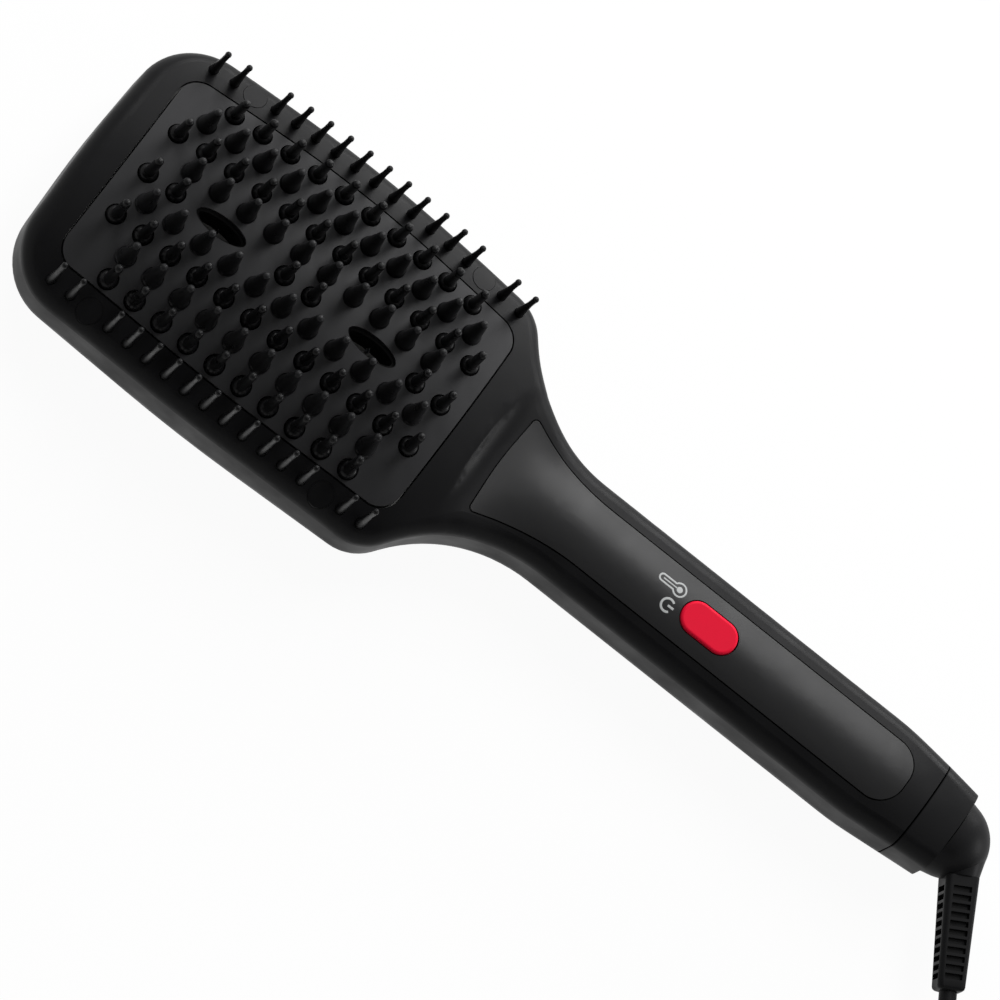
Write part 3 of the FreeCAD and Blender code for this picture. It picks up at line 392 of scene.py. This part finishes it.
class BRUSH_OT_cord(bpy.types.Operator):
    """Lays the cord from its sleeve to its coil and the plug, as one spline, and straps the coil"""
    bl_idname = "brush.cord"
    bl_label = "Cord"
    # Quarter loops in each layer of the coil. The rest of these sizes are in millimetres.
    layers = (8, 8, 8, 7)
    inner_r = 21.0
    radial_step = 1.75
    layer_step = 6.0
    straight = 5.0
    # Control points of the lead, from the sleeve's mouth, and of the tail, from the coil's end
    lead_steps = ((0, 0, 0), (7.5, -12.9904, 0), (19.8, -23.3, -4.4), (34.8, -28.8, -11.6),
                  (54.8, -28.8, -11.6))
    tail_steps = ((0, 20, 0), (8.5, 34.7, -6.8), (23.2, 43.2, -13.6), (39.2, 43.2, -13.6))

    def execute(self, context):
        coil = self.coil()
        points = np.concatenate([self.lead(), coil, self.tail(coil[-1])])
        data = bpy.data.curves.new("mains_cord", "CURVE")
        data.dimensions = "3D"
        data.resolution_u = 6
        data.bevel_depth = sizes().cord_diameter / 2
        data.bevel_resolution = 5
        data.use_fill_caps = True
        spline = data.splines.new("NURBS")
        spline.points.add(len(points) - 1)
        control = np.ones((len(points), 4))
        control[:, :3] = points * MM
        spline.points.foreach_set("co", control.ravel())
        spline.order_u = 3
        spline.use_endpoint_u = True
        cord = show("mains_cord", data)
        # PVC jacket: smooth, a soft sheen with fine drag marks from the extruder
        jacket = finish("extruded_pvc", colours().cord, roughness=0.46, grain=1.2, depth=0.015,
                        gloss=0.1)
        data.materials.append(jacket)
        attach(cord, "swivel")
        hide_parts("cord_lead", "cord_coil", "cord_tail")
        self.tie()
        return {"FINISHED"}

    def tie(self):
        """A strap round the coil's turns, as they lie for storage. Its way round is an ellipse of
        the eighth order in the upright plane through the coil's middle, and its section a flat
        ellipse of the same order, across that plane and outwards along the way's normal, which is
        the gradient of that ellipse. What would go under the table lies flat on it."""
        order, rows, columns = 8, 72, 20
        wide, thick = 7.0, 0.9
        reach, height, middle_r, middle_z, least_z = 9.4, 12.1, 27.3, 11.7, 0.02
        direction = math.radians(-20.0)
        outward = np.array([math.cos(direction), math.sin(direction), 0.0])
        sideways = np.array([-outward[1], outward[0], 0.0])
        way = full_turn(rows)[:, None]
        turn = full_turn(columns)[None, :]
        radial = reach * blunt(np.cos(way), order)
        rise = height * blunt(np.sin(way), order)
        lean = np.arctan2(rise ** (order - 1) / height ** order,
                          radial ** (order - 1) / reach ** order)
        stand = thick / 2 * blunt(np.sin(turn), order)
        aside = wide / 2 * blunt(np.cos(turn), order)
        from_middle = middle_r + radial + stand * np.cos(lean)
        z = np.maximum(middle_z + rise + stand * np.sin(lean), least_z)
        points = (self.coil_centre() * [1, 1, 0] + from_middle[..., None] * outward
                  + aside[..., None] * sideways + z[..., None] * UPWARD)
        strap = surface("coil_tie", points, wrap_rows=True)
        # Woven nylon tape: black, dull, with a fine cross weave
        tape = finish("woven_nylon_tape", colours().nylon, roughness=0.7, grain=0.6, depth=0.08,
                      gloss=0.1)
        strap.data.materials.append(tape)
        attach(strap, "swivel")
        return strap

    def first_r(self):
        """Radius at which the coil starts, outside its first layer."""
        return self.inner_r + self.layers[0] * self.radial_step

    def coil_centre(self):
        """Middle of the coil: one such radius to the left of the lead, past a short straight."""
        return self.lead()[-1] + np.array([self.straight, self.first_r(), 0.0])

    def lead(self):
        """From the sleeve's mouth straight out, then down to the table."""
        return MOUTH + np.array(self.lead_steps)

    def coil(self):
        """Loops that wind in and out by turns and climb one layer in the half turn between. Within
        a quarter loop the radius changes evenly, and the climb goes by a quarter of a sine. Control
        points stand outside the loop by one over the cosine of half a step, so the curve lies on
        it."""
        per_quarter = 4
        outside = 1 / math.cos(math.pi / (4 * per_quarter))
        centre = self.coil_centre()
        radius = self.first_r()
        quarters = []
        for layer, count in enumerate(self.layers):
            inward = -1 if layer % 2 == 0 else 1
            for _ in range(count):
                quarters.append((radius, radius + inward * self.radial_step, layer, layer))
                radius += inward * self.radial_step
            if layer < len(self.layers) - 1:
                quarters.append((radius, radius, layer, layer + 0.5))
                quarters.append((radius, radius, layer + 0.5, layer + 1))
        r0, r1, z0, z1 = np.array(quarters).T[..., None]
        t = (np.arange(per_quarter) + 0.5) / per_quarter
        angle = (np.arange(len(quarters))[:, None] + t - 1) * np.pi / 2
        r = (r0 + (r1 - r0) * t) * outside
        climb = np.where(z0 % 1, np.sin(t * np.pi / 2), 1 - np.cos(t * np.pi / 2))
        z = (z0 + (z1 - z0) * climb) * self.layer_step
        loops = centre + np.stack([r * np.cos(angle), r * np.sin(angle), z], axis=-1).reshape(-1, 3)
        end = (len(quarters) - 1) * math.pi / 2
        heading = np.array([-math.sin(end), math.cos(end), 0.0])
        out = np.array([math.cos(end), math.sin(end), 0.0])
        top = (len(self.layers) - 1) * self.layer_step * UPWARD
        return np.concatenate([loops, [centre + radius * out + top + heading * self.straight]])

    def tail(self, start):
        """From the coil down to the back of the plug."""
        return start + np.array(self.tail_steps)


class BRUSH_OT_housings(bpy.types.Operator):
    """Finishes the two housings, the screw caps, the end cap and the knuckle"""
    bl_idname = "brush.housings"
    bl_label = "Housings"
    # Distances past the cap's seam, in millimetres, between which the shade in its joint fades
    shade = (0.3, 0.7)

    def execute(self, context):
        # ABS with a soft-touch lacquer: near black, a broad dull sheen and an even fine grain.
        # The real grain is about 0.2 mm and is drawn at 0.7 mm, so that it shows.
        lacquer = {"roughness": 0.42, "grain": 0.7, "depth": 0.02, "mottle": 14.0, "gloss": 0.075}
        shell = finish("soft_touch_abs", colours().shell, **lacquer)
        dress(shell, "front_housing", "back_housing", "swivel_elbow", "screw_caps")
        # The cap has the same lacquer, with shade in the joint where it meets the housings
        joint = [CAP_SEAM + past for past in self.shade]
        cap = finish("soft_touch_abs_cap", colours().shell, joint=joint, **lacquer)
        dress(cap, "end_cap")
        return {"FINISHED"}


class BRUSH_OT_plate(bpy.types.Operator):
    """Finishes the hot plate and its cones"""
    bl_idname = "brush.plate"
    bl_label = "Hot plate"

    def execute(self, context):
        # Sprayed ceramic coat on aluminium: dark grey, satin, with the orange peel of a spray gun
        plate = finish("ceramic_coated_aluminium", colours().plate, roughness=0.42, grain=0.9,
                       depth=0.02, mottle=9.0, gloss=0.07)
        dress(plate, "heated_plate")
        # The same coat on the cones, smoother where it ran before it was baked. Their colour is
        # darker than the plate's: painted shade
        cone = finish("ceramic_coated_cones", colours().cone, roughness=0.34, grain=0.5,
                      depth=0.008, mottle=4.0, gloss=0.1)
        dress(cone, "heated_bristles")
        return {"FINISHED"}


class BRUSH_OT_bristles(bpy.types.Operator):
    """Finishes the cool pins and the guard bristles"""
    bl_idname = "brush.bristles"
    bl_label = "Bristles"

    def execute(self, context):
        # Moulded nylon: black, waxy, with small soft highlights on the round tips
        nylon = finish("moulded_nylon", colours().nylon, roughness=0.32, grain=0.5, depth=0.006,
                       mottle=4.0, gloss=0.12)
        dress(nylon, "pin_bristles", "edge_bristles_left", "edge_bristles_right")
        return {"FINISHED"}


class BRUSH_OT_panel(bpy.types.Operator):
    """Finishes the handle's panel and the push button"""
    bl_idname = "brush.panel"
    bl_label = "Panel and button"

    def execute(self, context):
        # Satin ABS: near black, smoother than the shell, so it holds a long soft grey highlight
        panel = finish("satin_abs", colours().panel, roughness=0.33, grain=0.5, depth=0.006,
                       mottle=12.0, gloss=0.18, polish=0.03)
        dress(panel, "handle_inlay")
        # Dyed ABS with a matt skin: a full, even red with hardly any highlight
        button = finish("dyed_abs", colours().button, roughness=0.38, grain=0.5, depth=0.006,
                        mottle=5.0, spread=0.05, gloss=0.04)
        dress(button, "power_button")
        return {"FINISHED"}


class BRUSH_OT_signs(bpy.types.Operator):
    """Prints the thermometer and the power sign beside the button"""
    bl_idname = "brush.signs"
    bl_label = "Signs"
    # The thermometer: its places on the panel, its sizes, and the dot's first and last angles.
    # Lengths are in millimetres and angles in degrees.
    stem_end = (126.0 + HEAD_X, 3.15)
    stem_r = 1.0
    bulb = (131.65 + HEAD_X, 3.15)
    bulb_r = 1.9
    dot_r = 0.45
    dot_line = 0.86
    dot_ends = (0, 354)
    column_ends = (0.2, -0.9)
    column_share = 0.7
    # The power sign alike, with bolder lines
    power = (131.37 + HEAD_X, -2.31)
    ring_r = 1.85
    ring_ends = (48, 312)
    bar_ends = (0.1, 2.0)
    bold_share = 1.3

    def execute(self, context):
        line = sizes().sign_line / MM
        rise = sizes().sign_rise / MM
        thin, bold = line * self.column_share, line * self.bold_share
        # Pad-printed ink: light grey, flat and matt, a little uneven where the pad lifted
        ink = finish("pad_print_ink", colours().print_ink, roughness=0.6, grain=0.3, depth=0.004,
                     mottle=1.0)
        dot = arc(self.bulb, self.dot_r, *self.dot_ends, 24)
        ring = arc(self.power, self.ring_r, *self.ring_ends, 40)
        pieces = [
            printed_line("sign_thermometer_outline", self.thermometer(), line, rise, True),
            printed_line("sign_thermometer_column", self.column(), thin, rise, False),
            printed_line("sign_thermometer_bulb", dot, self.dot_line, rise, True),
            printed_line("sign_power_ring", ring, bold, rise, False),
            printed_line("sign_power_bar", self.bar(), bold, rise, False),
        ]
        for piece in pieces:
            piece.data.materials.append(ink)
            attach(piece, "brush")
        return {"FINISHED"}

    def thermometer(self):
        """Outline of a thermometer: a long half-round stem that opens into a round bulb."""
        open_angle = math.degrees(math.asin(self.stem_r / self.bulb_r))
        tip = arc(self.stem_end, self.stem_r, 90, 270, 14)
        bulb = arc(self.bulb, self.bulb_r, -180 + open_angle, 180 - open_angle, 34)
        return np.concatenate([tip, bulb])

    def column(self):
        """From the stem's round end to the bulb."""
        first, last = self.column_ends
        return level_line(self.stem_end[0] + first, self.bulb[0] + last, self.bulb[1], 8)

    def bar(self):
        """From the middle of the ring out through its gap."""
        first, last = self.bar_ends
        return level_line(self.power[0] + first, self.power[0] + last, self.power[1], 6)


class BRUSH_OT_sleeve(bpy.types.Operator):
    """Makes the notched sleeve between the knuckle and the cord"""
    bl_idname = "brush.sleeve"
    bl_label = "Sleeve"
    # Notches on each face, the share of a pitch that a notch takes, and sizes in millimetres
    notches = 11
    notch_share = 0.56
    notch_half = 2.5
    plain = 2.5
    corner_r = 1.5
    bevel = 0.12
    # The rounded end: distances from it, and how much the half width narrows there
    end_steps = (1.2, 0.6, 0.2, 0.0)
    end_narrow = (0.0, 0.15, 0.55, 1.1)

    def execute(self, context):
        piece = surface("notched_sleeve", self.points(), sharp=40.0)
        # Soft PVC: black, dull, a little dusty in its notches
        rubber = finish("soft_pvc", colours().cord, roughness=0.46, grain=0.8, depth=0.01,
                        gloss=0.08)
        piece.data.materials.append(rubber)
        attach(piece, "swivel")
        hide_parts("strain_relief")
        return {"FINISHED"}

    def stations(self):
        """Distances along the bar, how deep the notches are there from nought to one, and how much
        the bar narrows at its rounded end. Each notch has four stations: two at its floor, two at
        its rim."""
        pitch = (SLEEVE_LENGTH - 2 * self.plain) / self.notches
        middles = self.plain + pitch * (np.arange(self.notches) + 0.5)
        floor = pitch * self.notch_share / 2
        offsets = np.array([-floor - self.bevel, -floor, floor, floor + self.bevel])
        along = (middles[:, None] + offsets).ravel()
        depth = np.tile([0.0, 1.0, 1.0, 0.0], self.notches)
        close = SLEEVE_LENGTH - np.array(self.end_steps)
        along = np.concatenate([[0.0], along, close])
        depth = np.concatenate([[0.0], depth, np.zeros(close.size)])
        narrow = np.concatenate([np.zeros(along.size - close.size), self.end_narrow])
        return along[:, None], depth[:, None], narrow[:, None]

    def points(self):
        """A bar along the cord's way out that narrows evenly. Its section is four flats joined by
        quarter rounds. On a flat, the distance from the middle line is the half width less the
        notch's depth inside a window; on a round, it is the flat's end plus the cosine of the turn
        times the round's radius, and the place across is the same with the sine."""
        along, depth, narrow = self.stations()
        root, end = sizes().sleeve_root / MM, sizes().sleeve_end / MM
        half = root + (end - root) * along / SLEEVE_LENGTH - narrow
        flat = half - self.corner_r
        before = np.radians([-45.0, -30.0, -15.0, 0.0])
        after = np.radians([0.0, 15.0, 30.0])
        rim = self.notch_half + self.bevel
        window = np.array([0.0, 1.0, 1.0, 0.0])
        edges = np.array([-rim, -self.notch_half, self.notch_half, rim])
        out = np.concatenate([
            flat + self.corner_r * np.cos(before),
            half - sizes().notch_depth / MM * depth * window,
            flat + self.corner_r * np.cos(after)], axis=1)
        across = np.concatenate([
            -flat + self.corner_r * np.sin(before),
            edges * np.minimum(1, flat / rim),
            flat + self.corner_r * np.sin(after)], axis=1)
        turn = np.radians([0.0, 90.0, 180.0, 270.0])[:, None, None]
        aside = out * np.cos(turn) - across * np.sin(turn)
        up = out * np.sin(turn) + across * np.cos(turn)
        aside, up = (side.transpose(1, 0, 2).reshape(along.size, -1, 1) for side in (aside, up))
        sideways = np.array([-LEAVE[1], LEAVE[0], 0.0])
        centre = PIVOT + LEAVE * (ELBOW_NOSE + along)
        return centre[:, None, :] + aside * sideways + up * UPWARD


class BRUSH_OT_plug(bpy.types.Operator):
    """Finishes the plug"""
    bl_idname = "brush.plug"
    bl_label = "Plug"

    def execute(self, context):
        # Moulded PVC: black and dull, with the fine grain of its mould
        body = finish("moulded_pvc", colours().cord, roughness=0.48, grain=0.8, depth=0.02,
                      gloss=0.1)
        dress(body, "plug_body")
        # Nickel plate: pale, bright, with fine draw marks
        nickel = finish("nickel_plated_brass", linear("#c9c6c0"), roughness=0.24, metallic=1.0,
                        grain=0.3, depth=0.004)
        dress(nickel, "plug_pins")
        return {"FINISHED"}


class BRUSH_OT_inner_parts(bpy.types.Operator):
    """Finishes what the housings hold: fasteners, heaters, board, wires and the swivel's parts"""
    bl_idname = "brush.inner_parts"
    bl_label = "Inner parts"

    def execute(self, context):
        # Natural moulded plastic of hidden parts: mid grey, with flow marks
        dress(finish("moulded_pbt", linear("#7a7a78"), roughness=0.5, mottle=9.0),
              "bristle_carrier", "edge_strips_left", "edge_strips_right", "contact_block")
        # Glass-filled plastic behind the plate's slots: dull and near black, a colour that paints
        # the shade in the slots, so that they look deep
        dress(finish("glass_filled_pps", linear("#080808"), roughness=0.7, mottle=3.0, gloss=0.1),
              "ion_nozzles")
        # Zinc-plated steel: pale, a little blue and blotchy
        dress(finish("zinc_plated_steel", linear("#b9bcc0"), roughness=0.34, metallic=1.0,
                     mottle=2.5),
              "head_screws", "handle_screws", "board_screws", "plate_screws")
        # Rolled spring steel: bright, with fine rolling marks
        dress(finish("rolled_spring_steel", linear("#c6c8ca"), roughness=0.28, metallic=1.0,
                     grain=0.3),
              "heater_springs", "ion_needles", "retaining_clip")
        # Drawn aluminium cans: pale and soft
        dress(finish("drawn_aluminium", linear("#cfd0d1"), roughness=0.36, metallic=1.0, grain=0.4),
              "heater_bars", "thermal_fuse")
        # Dipped epoxy resin: black and wet-looking
        dress(finish("dipped_epoxy", linear("#1f1f21"), roughness=0.22, mottle=3.0),
              "thermistor", "ion_generator", "tact_switch", "power_triac")
        # Silicone insulation: brick red, dull and rubbery
        dress(finish("silicone_insulation", linear("#b23d2c"), roughness=0.58, mottle=5.0),
              "heater_leads", "sensor_leads", "ion_leads", "mains_leads")
        # Solder mask on glass fibre: green, with the weave just showing
        dress(finish("solder_mask", linear("#1e6b35"), roughness=0.3, grain=0.5, depth=0.01,
                     coat=0.3),
              "control_board")
        # Bare acetal: off-white and waxy
        dress(finish("bare_acetal", linear("#ece7d8"), roughness=0.42, mottle=7.0, spread=0.04),
              "switch_plunger", "swivel_bush")
        # Cast clear resin: pale, with a glassy skin
        dress(finish("cast_resin", linear("#efece0"), roughness=0.16, spread=0.03, coat=0.4),
              "indicator_led")
        # Moulded polyester case: amber yellow
        dress(finish("moulded_polyester", linear("#e0a52c"), roughness=0.34, mottle=5.0),
              "mains_capacitor")
        # Bare stamped brass: warm yellow, slightly tarnished
        dress(finish("stamped_brass", linear("#cfa55a"), roughness=0.32, metallic=1.0, mottle=2.0),
              "contact_springs", "slip_rings")
        return {"FINISHED"}


class BRUSH_PT_sidebar(bpy.types.Panel):
    """Lists the brush's pieces, colours and sizes"""
    bl_idname = "BRUSH_PT_sidebar"
    bl_label = "Heated styling brush"
    bl_space_type = "VIEW_3D"
    bl_region_type = "UI"
    bl_category = "Brush"

    def draw(self, context):
        for step in STEPS:
            self.layout.operator(step.bl_idname)
        for group in (context.scene.brush_colours, context.scene.brush_sizes):
            column = self.layout.column()
            for name in group.__annotations__:
                column.prop(group, name)


STEPS = (
    BRUSH_OT_stage, BRUSH_OT_cord, BRUSH_OT_housings, BRUSH_OT_plate, BRUSH_OT_bristles,
    BRUSH_OT_panel, BRUSH_OT_signs, BRUSH_OT_sleeve, BRUSH_OT_plug, BRUSH_OT_inner_parts,
)
CLASSES = (BrushColours, BrushSizes) + STEPS + (BRUSH_PT_sidebar,)


def register():
    for cls in CLASSES:
        bpy.utils.register_class(cls)
    bpy.types.Scene.brush_colours = bpy.props.PointerProperty(type=BrushColours)
    bpy.types.Scene.brush_sizes = bpy.props.PointerProperty(type=BrushSizes)


def unregister():
    del bpy.types.Scene.brush_sizes
    del bpy.types.Scene.brush_colours
    for cls in reversed(CLASSES):
        bpy.utils.unregister_class(cls)


def main():
    register()
    for step in STEPS:
        group, name = step.bl_idname.split(".")
        getattr(getattr(bpy.ops, group), name)()


if __name__ == "__main__":
    main()
